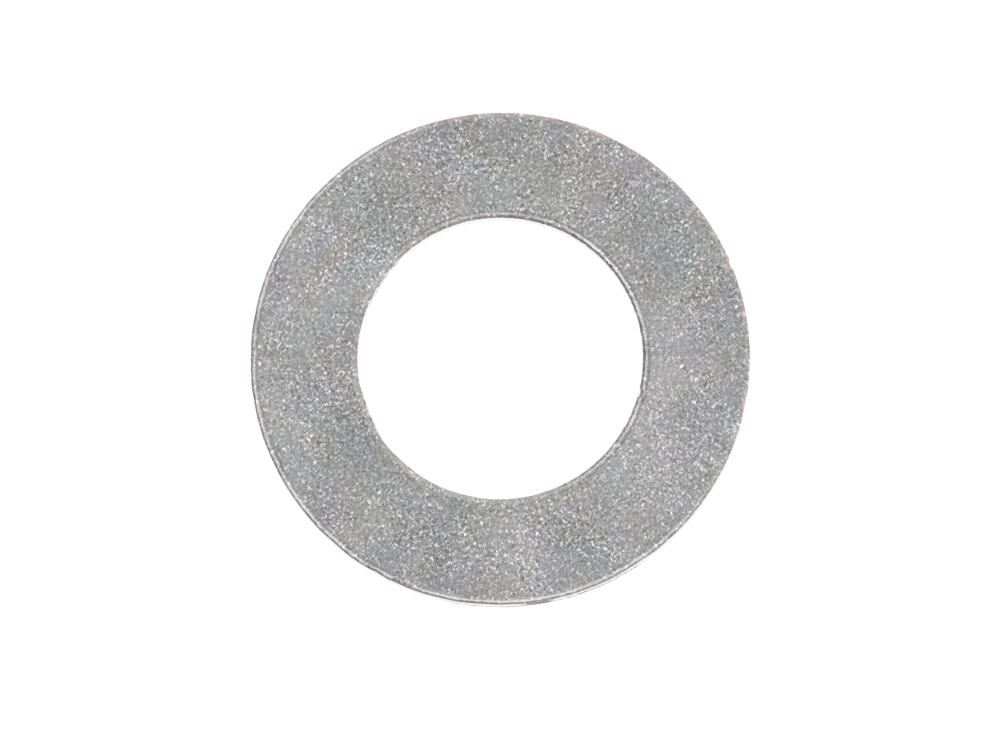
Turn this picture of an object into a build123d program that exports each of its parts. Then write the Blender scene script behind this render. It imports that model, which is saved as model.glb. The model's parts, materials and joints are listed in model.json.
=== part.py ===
from build123d import *
import os

# Shim ring for a 17 mm shaft: one flat ring of zinc-plated steel sheet. A compound die blanks the
# rim and pierces the bore in the same stroke, so both edges have the same section, and both are
# rolled over on the same face. The other face is the one that the burrs were tumbled off.
# The origin is on the bore's axis at the underside. +Z is that axis, and the rolled face is on top.

# Driving dimensions, in millimetres
shaft_diameter = 17.0  # the shaft that the ring slides over
bore_clearance = 0.1  # the bore is this much larger than the shaft, on the diameter
rim_diameter = 30.0
thickness = 1.0  # the sheet's, and so the gap that the ring takes up

# The sheared edge, from the top face down
roll_width = 0.32  # where the sheet bent over the die before it was cut
roll_drop = 0.075  # how far the bent face has fallen where it meets the wall
roll_corner_radius = 0.09  # the corner where it meets the wall
sheared_depth = 0.45  # the wall is straight and burnished down to here, and torn below
breakout = 0.05  # how far the torn wall leans back at the underside, from the die's clearance
tumbled_radius = 0.03  # the lower corner, where the burr was

bore_radius = (shaft_diameter + bore_clearance) / 2
rim_radius = rim_diameter / 2


def sheared_edge(wall_radius, out):
    """One cut edge of the section, as lines, with its corners still sharp. out is 1 at the rim,
    where the air is at larger radii than the wall, and -1 at the bore. Gives the edge's ends on
    the top face and on the underside."""
    roll = TangentArc(
        (wall_radius - out * roll_width, thickness),
        (wall_radius, thickness - roll_drop),
        tangent=(out, 0),
    )
    land = Line(roll @ 1, (wall_radius, thickness - sheared_depth))
    torn_wall = Line(land @ 1, (wall_radius - out * breakout, 0))
    return roll @ 0, torn_wall @ 1


with BuildPart() as shim_ring:
    # In Plane.XZ a sketch's x is the radius and its y is the height.
    with BuildSketch(Plane.XZ) as section:
        with BuildLine():
            rim_top, rim_foot = sheared_edge(rim_radius, out=1)
            bore_top, bore_foot = sheared_edge(bore_radius, out=-1)
            Line(rim_top, bore_top)  # the top face
            Line(rim_foot, bore_foot)  # the underside
        make_face()
        fillet(section.vertices().group_by(Axis.Y)[0], radius=tumbled_radius)
        # The highest corners are the ends of the top face, and the next are those of the rolls.
        fillet(section.vertices().group_by(Axis.Y)[-2], radius=roll_corner_radius)
    revolve(axis=Axis.Z)

shim_ring.part.label = "shim_ring"
os.makedirs("parts", exist_ok=True)
export_step(shim_ring.part, "parts/shim_ring.step")
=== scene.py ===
import json
import math

import bmesh
import bpy
from mathutils import Matrix, Vector


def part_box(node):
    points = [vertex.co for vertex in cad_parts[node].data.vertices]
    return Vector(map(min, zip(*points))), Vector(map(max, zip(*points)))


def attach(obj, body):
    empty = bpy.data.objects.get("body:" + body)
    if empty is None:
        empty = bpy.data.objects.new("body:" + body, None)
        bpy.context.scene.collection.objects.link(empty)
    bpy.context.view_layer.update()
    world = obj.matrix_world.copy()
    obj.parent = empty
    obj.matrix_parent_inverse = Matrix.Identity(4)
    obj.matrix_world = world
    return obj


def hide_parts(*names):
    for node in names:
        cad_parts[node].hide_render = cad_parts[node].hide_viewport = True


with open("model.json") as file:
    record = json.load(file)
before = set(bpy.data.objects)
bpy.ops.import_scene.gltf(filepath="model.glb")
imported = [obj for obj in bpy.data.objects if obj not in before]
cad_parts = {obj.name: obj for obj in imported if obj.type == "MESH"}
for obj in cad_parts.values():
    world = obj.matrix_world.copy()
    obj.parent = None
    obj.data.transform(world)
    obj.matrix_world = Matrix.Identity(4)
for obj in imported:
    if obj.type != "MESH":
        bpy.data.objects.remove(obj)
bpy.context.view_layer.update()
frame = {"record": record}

# The ring. It is blanked and pierced from matt-rolled steel sheet in one stroke, then zinc plated.
# Its section is drawn as a flat face in millimetres, shaped at the corners as the die leaves it,
# and spun about the axis of the bore.

MM = 0.001

cad_low, cad_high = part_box("shim_ring")
bore_mount = next(m for m in frame["record"]["mounts"] if m["name"] == "bore")
thickness = (cad_high.z - cad_low.z) / MM
outline_wander = 0.03  # how far the cut outlines stray from true circles
rim_radius = cad_high.x / MM - outline_wander
bore_radius = bore_mount["dims"]["r_mm"]
middle_radius = (rim_radius + bore_radius) / 2
flat_width = rim_radius - bore_radius

# Each wall, the way from it into the metal, and the width and depth of its roll, where the sheet
# bent over the die before it was cut
edges = ((rim_radius, -1, 0.32, 0.12), (bore_radius, 1, 0.36, 0.18))
land_foot = 0.55  # height at which the burnished band ends and the torn wall begins
breakout = 0.01  # how far the torn wall leans back at the underside
tumbled_radius = 0.03  # the lower corner
holding_strip = 0.16  # a narrow strip beside each roll, so that the flat is shaded flat
roll_segments = 12
tumbled_segments = 3
land_cuts = 2  # extra vertices on the straight band and on the torn wall
torn_cuts = 4
spin_steps = 1440  # fine enough for a ragged outline


def select(kind, test):
    """In edit mode, selects only the vertices, edges or faces whose middle passes the test."""
    mesh = bmesh.from_edit_mesh(bpy.context.object.data)
    bpy.ops.mesh.select_all(action="DESELECT")
    bpy.ops.mesh.select_mode(type=kind)
    elements = {"VERT": mesh.verts, "EDGE": mesh.edges, "FACE": mesh.faces}[kind]
    for element in elements:
        corners = [element] if kind == "VERT" else element.verts
        middle = sum((corner.co for corner in corners), Vector()) / len(corners)
        element.select_set(test(middle))
    bmesh.update_edit_mesh(bpy.context.object.data)


def near_wall(point):
    """True on the two straight walls of the section and on the torn walls below them."""
    depth = min(abs(point.x - rim_radius), abs(point.x - bore_radius))
    return depth < breakout + tumbled_radius / 2


bpy.ops.object.select_all(action="DESELECT")
bpy.ops.mesh.primitive_plane_add(
    size=1, location=(middle_radius, 0, thickness / 2), rotation=(math.pi / 2, 0, 0)
)
ring = bpy.context.object
ring.name = "zinc_plated_ring"
ring.scale = (flat_width, thickness, 1)
bpy.ops.object.transform_apply(location=True, rotation=True, scale=True)
bpy.ops.object.mode_set(mode="EDIT")

# Cuts that leave a vertex at the foot of each land and at each end of the holding strips
for wall, inwards, width, _ in edges:
    strip_end = wall + inwards * (width + holding_strip)
    bpy.ops.mesh.select_all(action="SELECT")
    bpy.ops.mesh.bisect(plane_co=(strip_end, 0, 0), plane_no=(1, 0, 0), threshold=1e-5)
bpy.ops.mesh.select_all(action="SELECT")
bpy.ops.mesh.bisect(plane_co=(0, 0, land_foot), plane_no=(0, 0, 1), threshold=1e-5)

# The torn walls lean back
for wall, inwards, _, _ in edges:
    select("VERT", lambda p: abs(p.x - wall) < 0.001 and p.z < 0.001)
    bpy.ops.transform.translate(value=(inwards * breakout, 0, 0))

# The rolls: for each, the section is stretched until the roll is as deep as it is wide, its corner
# is rounded, and the section is pressed back, which makes the round an ellipse
for wall, _, width, depth in edges:
    bpy.ops.mesh.select_all(action="SELECT")
    bpy.ops.transform.resize(value=(1, 1, width / depth), center_override=(0, 0, thickness))
    select("VERT", lambda p: abs(p.x - wall) < 0.001 and abs(p.z - thickness) < 0.001)
    bpy.ops.mesh.bevel(
        offset=width, segments=roll_segments, affect="VERTICES", clamp_overlap=False
    )
    bpy.ops.mesh.select_all(action="SELECT")
    bpy.ops.transform.resize(value=(1, 1, depth / width), center_override=(0, 0, thickness))

# The tumbled corners
select(
    "VERT",
    lambda p: p.z < 0.001
    and min(abs(p.x - rim_radius + breakout), abs(p.x - bore_radius - breakout)) < 0.001,
)
bpy.ops.mesh.bevel(
    offset=tumbled_radius, segments=tumbled_segments, affect="VERTICES", clamp_overlap=False
)

# Only the outline is kept, and it is spun round the axis
bpy.ops.mesh.select_mode(type="FACE")
bpy.ops.mesh.select_all(action="SELECT")
bpy.ops.mesh.region_to_loop()
bpy.ops.mesh.select_all(action="INVERT")
bpy.ops.mesh.delete(type="EDGE_FACE")
bpy.ops.mesh.select_all(action="SELECT")
bpy.ops.mesh.delete_loose(use_verts=True, use_edges=False, use_faces=False)
for cuts, lowest, highest in (
    (land_cuts, land_foot, thickness),
    (torn_cuts, tumbled_radius, land_foot),
):
    select("EDGE", lambda p: near_wall(p) and lowest < p.z < highest)
    bpy.ops.mesh.subdivide(number_cuts=cuts)
bpy.ops.object.mode_set(mode="OBJECT")
spin = ring.modifiers.new("Spin", "SCREW")
spin.axis = "Z"
spin.angle = 2 * math.pi
spin.steps = spin_steps
spin.render_steps = spin_steps
spin.use_merge_vertices = True
bpy.ops.object.modifier_apply(modifier=spin.name)
bpy.ops.object.mode_set(mode="EDIT")
bpy.ops.mesh.select_all(action="SELECT")
bpy.ops.mesh.remove_doubles(threshold=1e-4)
bpy.ops.mesh.normals_make_consistent(inside=False)
bpy.ops.object.mode_set(mode="OBJECT")

# The outlines wander and are slightly ragged, the rolls are uneven, and at two spots on the bore's
# edge the plating is crumbled.

crumbled_spots = (147, 201)  # degrees from +X
crumbled_reach = 14  # degrees, to both sides of a spot
crumbled_fade = 6  # degrees, the last of the reach, where it fades
crumbled_depth = 0.15  # how far it reaches from the wall
crumbled_foot = 0.3  # the height at which it begins to fade towards the foot


def across_roll(point):
    """How far across the nearer roll a point is: 0 at the wall, and 1 where the flat begins."""
    radius = math.hypot(point.x, point.y)
    wall, inwards, width, _ = min(edges, key=lambda edge: abs(radius - edge[0]))
    return min(1.0, max(0.0, inwards * (radius - wall) / width))


def whole_weight(point):
    """1 everywhere."""
    return 1.0


def edge_weight(point):
    """1 at the walls, falling to 0 where the rolls run out into the flat faces."""
    return 1 - across_roll(point)


def roll_weight(point):
    """1 halfway across the rolls of the top face, 0 at both of their ends."""
    return math.sin(math.pi * across_roll(point)) if point.z > land_foot else 0.0


def crumbled_weight(point):
    """1 on the wall of the bore at two spots, falling to 0 beside them, at the start of the roll
    and at the foot."""
    degrees = math.degrees(math.atan2(point.y, point.x)) % 360
    from_spot = min(abs(degrees - spot) for spot in crumbled_spots)
    beside = max(0.0, min(1.0, (crumbled_reach - from_spot) / crumbled_fade))
    from_bore = max(0.0, math.hypot(point.x, point.y) - bore_radius)
    upwards = min(1.0, point.z / crumbled_foot)
    return beside * max(0.0, 1 - from_bore / crumbled_depth) * upwards


# Each displacement: its direction, the length of its waves, and its lowest and highest value
for name, weight_at, direction, length, lowest, highest in (
    ("wander_x", whole_weight, "X", 2.0, -outline_wander, outline_wander),
    ("wander_y", whole_weight, "Y", 2.1, -outline_wander, outline_wander),
    ("ragged_x", edge_weight, "X", 0.25, -0.02, 0.02),
    ("ragged_y", edge_weight, "Y", 0.26, -0.02, 0.02),
    ("uneven_roll", roll_weight, "NORMAL", 0.3, -0.014, 0.0),
    ("crumbled", crumbled_weight, "X", 0.16, -0.13, 0.17),
):
    group = ring.vertex_groups.new(name=name)
    for vertex in ring.data.vertices:
        weight = weight_at(vertex.co)
        if weight > 0:
            group.add([vertex.index], weight, "REPLACE")
    clouds = bpy.data.textures.new(name, "CLOUDS")
    clouds.noise_scale = length
    clouds.noise_depth = 3
    displace = ring.modifiers.new(name, "DISPLACE")
    displace.texture = clouds
    displace.texture_coords = "LOCAL"
    displace.direction = direction
    displace.vertex_group = name
    displace.strength = highest - lowest
    displace.mid_level = -lowest / displace.strength
    bpy.ops.object.modifier_apply(modifier=name)

# Knocks and low spots: wall, degrees from +X, reach, and how far the edge is knocked in and down
struck_radius = 0.18  # the patch that moves as one, and what is round it follows
knocks = (
    (rim_radius, 22, 0.25, 0.1, 0.03),
    (rim_radius, -12, 1.2, 0.04, 0.0),
    (rim_radius, -57, 1.8, 0.04, 0.0),
    (rim_radius, -119, 0.5, 0.04, 0.0),
    (rim_radius, -114.8, 0.22, 0.02, 0.025),
    (rim_radius, -112, 0.3, 0.0, 0.03),
    (rim_radius, 178.5, 0.3, 0.02, 0.02),
    (bore_radius, 155, 0.35, 0.06, 0.0),
    (bore_radius, 142, 0.3, 0.05, 0.0),
    (bore_radius, -142, 0.9, 0.05, 0.0),
    (bore_radius, -14.5, 0.22, 0.08, 0.02),
)
bpy.ops.object.mode_set(mode="EDIT")
for wall, degrees, reach, inward, down in knocks:
    outwards = Vector((math.cos(math.radians(degrees)), math.sin(math.radians(degrees)), 0))
    struck = wall * outwards + Vector((0, 0, thickness))
    select("VERT", lambda p: (p - struck).length < struck_radius)
    bpy.ops.transform.translate(
        value=outwards * (-inward if wall == rim_radius else inward) - Vector((0, 0, down)),
        use_proportional_edit=True,
        proportional_edit_falloff="SMOOTH",
        proportional_size=reach,
    )

# From millimetres to metres, and shaded smooth
bpy.ops.mesh.select_all(action="SELECT")
bpy.ops.transform.resize(value=(MM, MM, MM), center_override=(0, 0, 0))
bpy.ops.object.mode_set(mode="OBJECT")
bpy.ops.object.shade_smooth_by_angle(angle=math.radians(40))


def linear(colour):
    """The linear colour, with alpha, of an sRGB hex value such as #A0A0A0."""
    channels = [int(colour[i : i + 2], 16) / 255 for i in (1, 3, 5)]
    return [c / 12.92 if c < 0.04045 else ((c + 0.055) / 1.055) ** 2.4 for c in channels] + [1]


def add_node(tree, kind, inputs, output=0, **settings):
    """Adds a node with its settings and gives one of its outputs. Each input is given a value, or
    a socket that it is linked to."""
    node = tree.nodes.new("ShaderNode" + kind)
    for name, value in settings.items():
        setattr(node, name, value)
    for key, value in inputs.items():
        if isinstance(value, bpy.types.NodeSocket):
            tree.links.new(value, node.inputs[key])
        else:
            node.inputs[key].default_value = value
    return node.outputs[output]


# Zinc plated on matt-rolled steel sheet. The mill leaves the faces with a fine grain of dull pits
# and bright specks, which the zinc follows. The die leaves the rolled-over edges smoother and the
# walls bright, and light and shade are painted over both: the rolls lighter and darker round the
# ring as painted highlight and shade, and the walls near white as a painted reflection of the
# card.
# A painted contact shadow runs along the near side of the rim's foot, with a smudge on the wall.
zinc = bpy.data.materials.new("zinc_plate_on_matt_rolled_steel")
zinc.use_nodes = True
tree = zinc.node_tree
surface = tree.nodes["Principled BSDF"]
surface.inputs["Metallic"].default_value = 1.0

metres = add_node(tree, "TexCoord", {}, "Object")
upward = add_node(tree, "SeparateXYZ", {0: metres.node.outputs["Normal"]}, "Z")
steepness = add_node(tree, "Math", {0: upward}, operation="ABSOLUTE")
place = add_node(tree, "VectorMath", {0: metres, "Scale": 1 / MM}, operation="SCALE")
height = add_node(tree, "SeparateXYZ", {0: place}, "Z")
sideways = height.node.outputs["X"]
near_to_far = height.node.outputs["Y"]
spot = add_node(tree, "VectorMath", {0: place, 1: (1, 1, 0)}, operation="MULTIPLY")
radius = add_node(tree, "VectorMath", {0: spot}, "Value", operation="LENGTH")

# The grain's patterns, with the number of their features to the millimetre. The real grain is
# about 0.02 mm, and is drawn coarser, so that it shows.
noise = {}
noise_roughness = 0.6
for name, scale, detail, distortion in (
    ("grit", 6.2, 0.0, 0.8),
    ("rough_patch", 0.55, 2.0, 0.0),
    ("mottle", 0.7, 2.0, 0.0),
    ("cloud", 0.16, 3.0, 0.0),
    ("warmth", 0.27, 5.0, 0.5),
    ("blueness", 0.24, 5.0, 1.5),
):
    inputs = {"Vector": place, "Scale": scale, "Detail": detail, "Distortion": distortion}
    noise[name] = add_node(tree, "TexNoise", {**inputs, "Roughness": noise_roughness})

# The grain is what is added to the flat's brightness, as a share of it
grit_strength = 1.25
grain = add_node(tree, "Math", {0: noise["grit"], 1: 0.5}, operation="SUBTRACT")
grain = add_node(tree, "Math", {0: grain, 1: grit_strength}, operation="MULTIPLY")

# Short bright flakes, in the two directions that the sheet was rolled and wiped in
flake_length = 2.2  # times their width
flakes_per_mm = 8.0
flake_strength = 1.1
for degrees in (35, -40):
    turned = {"Rotation": (0, 0, math.radians(degrees)), "Scale": (1, flake_length, 1)}
    along_flakes = add_node(
        tree, "Mapping", {"Vector": place, **turned}, vector_type="TEXTURE"
    )
    inputs = {"Vector": along_flakes, "Scale": flakes_per_mm, "Detail": 0.0, "Distortion": 0.3}
    flakes = add_node(tree, "TexNoise", inputs)
    flakes = add_node(tree, "MapRange", {0: flakes, 1: 0.62, 2: 0.8})
    inputs = {0: flakes, 1: flake_strength, 2: grain}
    grain = add_node(tree, "Math", inputs, operation="MULTIPLY_ADD")

# Brighter specks, one in each of a quarter of the cells
cells_per_mm = 5.4
speck_strength = 0.85
inputs = {"Vector": place, "Scale": cells_per_mm}
from_centre = add_node(tree, "TexVoronoi", inputs, "Distance", voronoi_dimensions="2D")
chance = add_node(tree, "SeparateColor", {0: from_centre.node.outputs["Color"]}, "Red")
shape = add_node(tree, "MapRange", {0: from_centre, 1: 0.32, 2: 0.1})
share = add_node(tree, "MapRange", {0: chance, 1: 0.75, 2: 1.0})
specks = add_node(tree, "Math", {0: shape, 1: share}, operation="MULTIPLY")
inputs = {0: specks, 1: speck_strength, 2: grain}
grain = add_node(tree, "Math", inputs, operation="MULTIPLY_ADD")

# The grain is stronger in some patches than in others
contrast = add_node(tree, "MapRange", {0: noise["rough_patch"], 1: 0.36, 2: 0.6, 3: 0.6, 4: 1.25})
grain = add_node(tree, "Math", {0: grain, 1: contrast}, operation="MULTIPLY")

# The flat's own colour, whose brightness and tint vary over it
level = add_node(tree, "Math", {0: grain, 1: 0.95}, operation="ADD")
tint = linear("#989999")[:3]
channels = {}
for pattern, strength in (("mottle", 0.12), ("cloud", 0.9)):
    change = add_node(tree, "Math", {0: noise[pattern], 1: 0.5}, operation="SUBTRACT")
    level = add_node(tree, "Math", {0: change, 1: strength, 2: level}, operation="MULTIPLY_ADD")
for pattern, channel, least, most in (
    ("warmth", "Red", 0.95 * tint[0], 1.05 * tint[0]),
    ("blueness", "Blue", 0.935 * tint[2], 1.065 * tint[2]),
):
    inputs = {0: noise[pattern], 1: 0.3, 2: 0.7, 3: least, 4: most}
    channels[channel] = add_node(tree, "MapRange", inputs)
channels["Green"] = tint[1]
colour = add_node(tree, "CombineColor", channels)
colour = add_node(tree, "VectorMath", {0: colour, "Scale": level}, operation="SCALE")

# What the zones of the cut edges are laid out by: each range is a measure, with its value where a
# zone is absent and its value where the zone is whole
smudge_middle = (2.3, -rim_radius, 0)
smudge = add_node(
    tree, "VectorMath", {0: spot, 1: smudge_middle}, "Value", operation="DISTANCE"
)
smudge = add_node(tree, "Math", {0: noise["grit"], 1: 1.4, 2: smudge}, operation="MULTIPLY_ADD")
# A noisy height that lays out the painted contact shadow along the rim's foot
painted_shadow_height = add_node(tree, "Math", {0: noise["mottle"], 1: 0.5, 2: height}, operation="MULTIPLY_ADD")
painted_shadow_height = add_node(tree, "Math", {0: noise["grit"], 1: 0.2, 2: painted_shadow_height}, operation="MULTIPLY_ADD")
on_wall = (steepness, 0.6, 0.4)
at_rim = (radius, middle_radius, middle_radius + 0.1)
at_bore = (radius, middle_radius, middle_radius - 0.1)
roll_start = (upward, 0.99999, 0.9999)
on_roll = (upward, 0.998, 0.993)
roll_middle = (upward, 0.994, 0.987)
roll_end = (upward, 0.95, 0.88)
on_top_edge = (height, 0.5, 0.6)

# How far an edge faces the left and a little to the near side, towards the tent's bright band: 1
# where it does, and -1 at the edges that face away. The rolls' painted light and shade follow it.
left = (-0.906, -0.423, 0)
facing = add_node(tree, "VectorMath", {0: spot, 1: left}, "Value", operation="DOT_PRODUCT")
facing = add_node(tree, "Math", {0: facing, 1: radius}, operation="DIVIDE")
outwards = add_node(tree, "MapRange", {0: radius, 1: at_bore[2], 2: at_rim[2], 3: -1.0, 4: 1.0})
facing = add_node(tree, "Math", {0: facing, 1: outwards}, operation="MULTIPLY")

# Stretches of the rolls painted lighter, darker or warmer than the rest, as painted highlight,
# shade and reflection: the middle of each in degrees from +X, and how far it reaches to both sides
stretch_fade = 5  # degrees, to both sides of each end
painted_light_stretch = {}
round_axis = add_node(tree, "VectorMath", {0: spot}, operation="NORMALIZE")
for name, degrees, reach in (
    ("bore painted highlight", 40, 21),
    ("bore painted shade", 5, 12),
    ("bore painted half shade", 100, 38),
    ("rim painted warm reflection", 120, 55),
    ("rim painted shade", 178, 7),
    ("rim painted highlight", 270, 22),
):
    middle = (math.cos(math.radians(degrees)), math.sin(math.radians(degrees)), 0)
    nearness = add_node(
        tree, "VectorMath", {0: round_axis, 1: middle}, "Value", operation="DOT_PRODUCT"
    )
    absent, whole = (
        math.cos(math.radians(reach + fade)) for fade in (stretch_fade, -stretch_fade)
    )
    painted_light_stretch[name] = (nearness, absent, whole)

# The grain of the edges is patchier than that of the flat
patchy = add_node(tree, "Math", {0: noise["mottle"], 1: 0.5}, operation="SUBTRACT")
patchy = add_node(tree, "Math", {0: patchy, 1: 1.2, 2: grain}, operation="MULTIPLY_ADD")

# The zones: where each one lies, its colour, how much of the grain it keeps and its roughness.
# Each lies over those before it. The colours of the rolls and walls are mostly painted light and
# shade, lighter or darker by which way an edge faces the tent's band.
flat_roughness = 0.42
roughness = flat_roughness
for ranges, shade, keeps, polish in (
    # the start of the rolls that face the left, which is as rough as the flat and painted darker,
    # as painted shade
    ((roll_start, on_top_edge, (facing, -0.4, 0)), "#8B8B8B", 0.8, flat_roughness),
    # all the rolls, lighter than the flat: partly their smoother finish, partly a painted
    # highlight
    ((on_roll, on_top_edge), "#A5A3A3", 0.8, 0.18),
    # the bore's roll where it faces away, which is rough, and both rolls where they face the left:
    # shaded and lit copies of the roll's colour, painted by which way they face
    ((on_roll, on_top_edge, at_bore, (facing, 0, -0.4)), "#A2A3A3", 0.8, 0.4),
    ((on_roll, on_top_edge, (facing, -0.4, 0)), "#A4A2A3", 0.65, 0.18),
    # the bore's roll to both sides of where it faces the left, painted darker as painted shade
    (
        (on_roll, on_top_edge, at_bore, (facing, 0.75, 0.4), (facing, -0.6, -0.1)),
        "#9C9A9B",
        0.65,
        0.18,
    ),
    # the stretches: lighter ones are painted highlights, darker ones and the steep end of the
    # brightest bore stretch are painted shade, and the pink rim's tint is a painted warm
    # reflection
    ((on_roll, on_top_edge, at_bore, painted_light_stretch["bore painted highlight"]), "#AFADAD", 0.8, 0.12),
    ((roll_end, on_top_edge, at_bore, painted_light_stretch["bore painted highlight"]), "#918F90", 0.5, 0.2),
    ((on_roll, on_top_edge, at_bore, painted_light_stretch["bore painted shade"]), "#9C9A9B", 0.8, 0.18),
    ((on_roll, on_top_edge, at_bore, painted_light_stretch["bore painted half shade"]), "#9F9D9D", 0.8, 0.31),
    ((on_roll, on_top_edge, at_rim, painted_light_stretch["rim painted warm reflection"]), "#A5A0A1", 0.65, 0.18),
    ((on_roll, on_top_edge, at_rim, painted_light_stretch["rim painted shade"]), "#9E9898", 0.65, 0.22),
    ((roll_start, on_top_edge, at_rim, painted_light_stretch["rim painted highlight"]), "#9C9A9A", 0.8, 0.4),
    ((roll_middle, on_top_edge, at_rim, painted_light_stretch["rim painted highlight"]), "#ADABAB", 0.3, 0.15),
    # the walls, near white: partly their burnished brightness, partly a painted reflection of the
    # white card
    ((on_wall,), "#F8F7F6", 0.1, 0.3),
    # a painted contact shadow along the foot of the rim's near side, and the smudge above it
    (
        (
            on_wall,
            at_rim,
            (painted_shadow_height, 0.61, 0.54),
            (near_to_far, 0, -1),
            (sideways, -3.6, -2.6),
            (sideways, 9, 8),
        ),
        "#42403E",
        0.8,
        0.5,
    ),
    ((on_wall, at_rim, (smudge, 1.55, 1.4)), "#8A8887", 1.0, 0.5),
):
    where = 1.0
    for measure, absent, whole in ranges:
        inside = add_node(tree, "MapRange", {0: measure, 1: absent, 2: whole})
        where = add_node(tree, "Math", {0: where, 1: inside}, operation="MULTIPLY")
    speckle = add_node(tree, "Math", {0: patchy, 1: keeps, 2: 1.0}, operation="MULTIPLY_ADD")
    finish = add_node(
        tree, "VectorMath", {0: linear(shade)[:3], "Scale": speckle}, operation="SCALE"
    )
    colour = add_node(tree, "Mix", {0: where, 6: colour, 7: finish}, 2, data_type="RGBA")
    roughness = add_node(tree, "Mix", {0: where, 2: roughness, 3: polish}, data_type="FLOAT")
tree.links.new(colour, surface.inputs["Base Color"])
tree.links.new(roughness, surface.inputs["Roughness"])
grain_height = 0.003 * MM
relief = add_node(tree, "Bump", {"Strength": 1.0, "Distance": grain_height, "Height": grain})
tree.links.new(relief, surface.inputs["Normal"])
ring.data.materials.append(zinc)

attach(ring, "root")
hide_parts("shim_ring")

# The floor, a sheet of white card. It shows as plain white, and a small share of what it shows is
# lit by the tent, which leaves a faint shadow at the ring's foot.

floor_size = 4.0  # metres
floor_gap = 1e-6  # metres, so that the ring's underside and the card don't flicker
unlit = 0.92  # the share of what the card shows that is plain white
bpy.ops.object.select_all(action="DESELECT")
bpy.ops.mesh.primitive_plane_add(size=floor_size, location=(0, 0, cad_low.z - floor_gap))
card = bpy.context.object
card.name = "white_card"
bpy.ops.object.transform_apply(location=True, rotation=True, scale=True)
paper = bpy.data.materials.new("matt_white_card")
paper.use_nodes = True
tree = paper.node_tree
lit = tree.nodes["Principled BSDF"]
lit.inputs["Base Color"].default_value = linear("#E8E8E8")
lit.inputs["Roughness"].default_value = 0.9
shining = add_node(tree, "Emission", {"Color": linear("#FFFFFF"), "Strength": 1.05})
seen = add_node(tree, "LightPath", {}, "Is Camera Ray")
for ray in seen.node.outputs["Is Glossy Ray"], seen.node.outputs["Is Transmission Ray"]:
    seen = add_node(tree, "Math", {0: seen, 1: ray}, operation="MAXIMUM")
unlit_share = add_node(tree, "Math", {0: seen, 1: unlit}, operation="MULTIPLY")
shown = add_node(tree, "MixShader", {0: unlit_share, 1: lit.outputs["BSDF"], 2: shining})
tree.links.new(shown, tree.nodes["Material Output"].inputs["Surface"])
card.data.materials.append(paper)

# The camera, looking down on the ring from a long way off.

camera_distance = 0.6655
aim = Vector((0, -1.05 * MM, thickness * MM))
tilt = math.radians(10)
turn = math.radians(-80)
lean = Vector((math.cos(turn) * math.sin(tilt), math.sin(turn) * math.sin(tilt), math.cos(tilt)))
bpy.ops.object.camera_add(location=aim + camera_distance * lean)
camera = bpy.context.object
camera.data.lens = 400
camera.data.sensor_width = 36
camera.data.clip_start = 0.01
right = Vector((0, 1, 0)).cross(lean).normalized()
upright = lean.cross(right)
camera.matrix_world = Matrix(
    (
        (right.x, upright.x, lean.x, camera.location.x),
        (right.y, upright.y, lean.y, camera.location.y),
        (right.z, upright.z, lean.z, camera.location.z),
        (0, 0, 0, 1),
    )
)
bpy.context.scene.camera = camera
bpy.context.scene.view_settings.view_transform = "Standard"

# The light: a white tent round the ring, with a brighter band that curves round its lower left
# and grey cloth behind that band, which draw a bright and a dark line along the rolled edges. The
# side away from the band is a little brighter and warm. All are laid out round the tent's axis,
# the direction that the ring's flat mirrors to the camera.

tent_axis = Vector((-lean.x, -lean.y, lean.z))
lower_left = Vector((-0.74, -0.67, 0))
towards_band = (lower_left - lower_left.project(tent_axis)).normalized()
studio = bpy.data.worlds.new("white_tent")
bpy.context.scene.world = studio
studio.use_nodes = True
tree = studio.node_tree
direction = add_node(tree, "TexCoord", {}, "Generated")
upward = add_node(tree, "SeparateXYZ", {0: direction}, "Z")
along, across = (
    add_node(tree, "VectorMath", {0: direction, 1: axis}, "Value", operation="DOT_PRODUCT")
    for axis in (tent_axis, towards_band)
)
angle = add_node(tree, "Math", {0: along}, operation="ARCCOSINE")
sine = add_node(tree, "Math", {0: angle}, operation="SINE")
towards = add_node(tree, "Math", {0: across, 1: sine}, operation="DIVIDE")
degrees_off = add_node(tree, "Math", {0: angle}, operation="DEGREES")
above_floor = (upward, 0.1, 0.2)
light = linear("#FFFFFF")
for colour, ranges in (
    # the side away from the band
    ((1.24, 1.12, 1.1, 1), ((towards, -0.15, -0.45), (degrees_off, 20, 40))),
    # the band
    (
        (1.84, 1.84, 1.84, 1),
        ((towards, -0.45, -0.15), (degrees_off, 15, 18), (degrees_off, 32, 29)),
    ),
    # the cloth behind the band
    (linear("#CDC8CA"), ((towards, -0.3, 0.8), (degrees_off, 30, 37))),
):
    where = 1.0
    for measure, absent, whole in (above_floor, *ranges):
        inside = add_node(tree, "MapRange", {0: measure, 1: absent, 2: whole})
        where = add_node(tree, "Math", {0: where, 1: inside}, operation="MULTIPLY")
    light = add_node(tree, "Mix", {0: where, 6: light, 7: colour}, 2, data_type="RGBA")
tree.links.new(light, tree.nodes["Background"].inputs["Color"])
tree.nodes["Background"].inputs["Strength"].default_value = 1.0
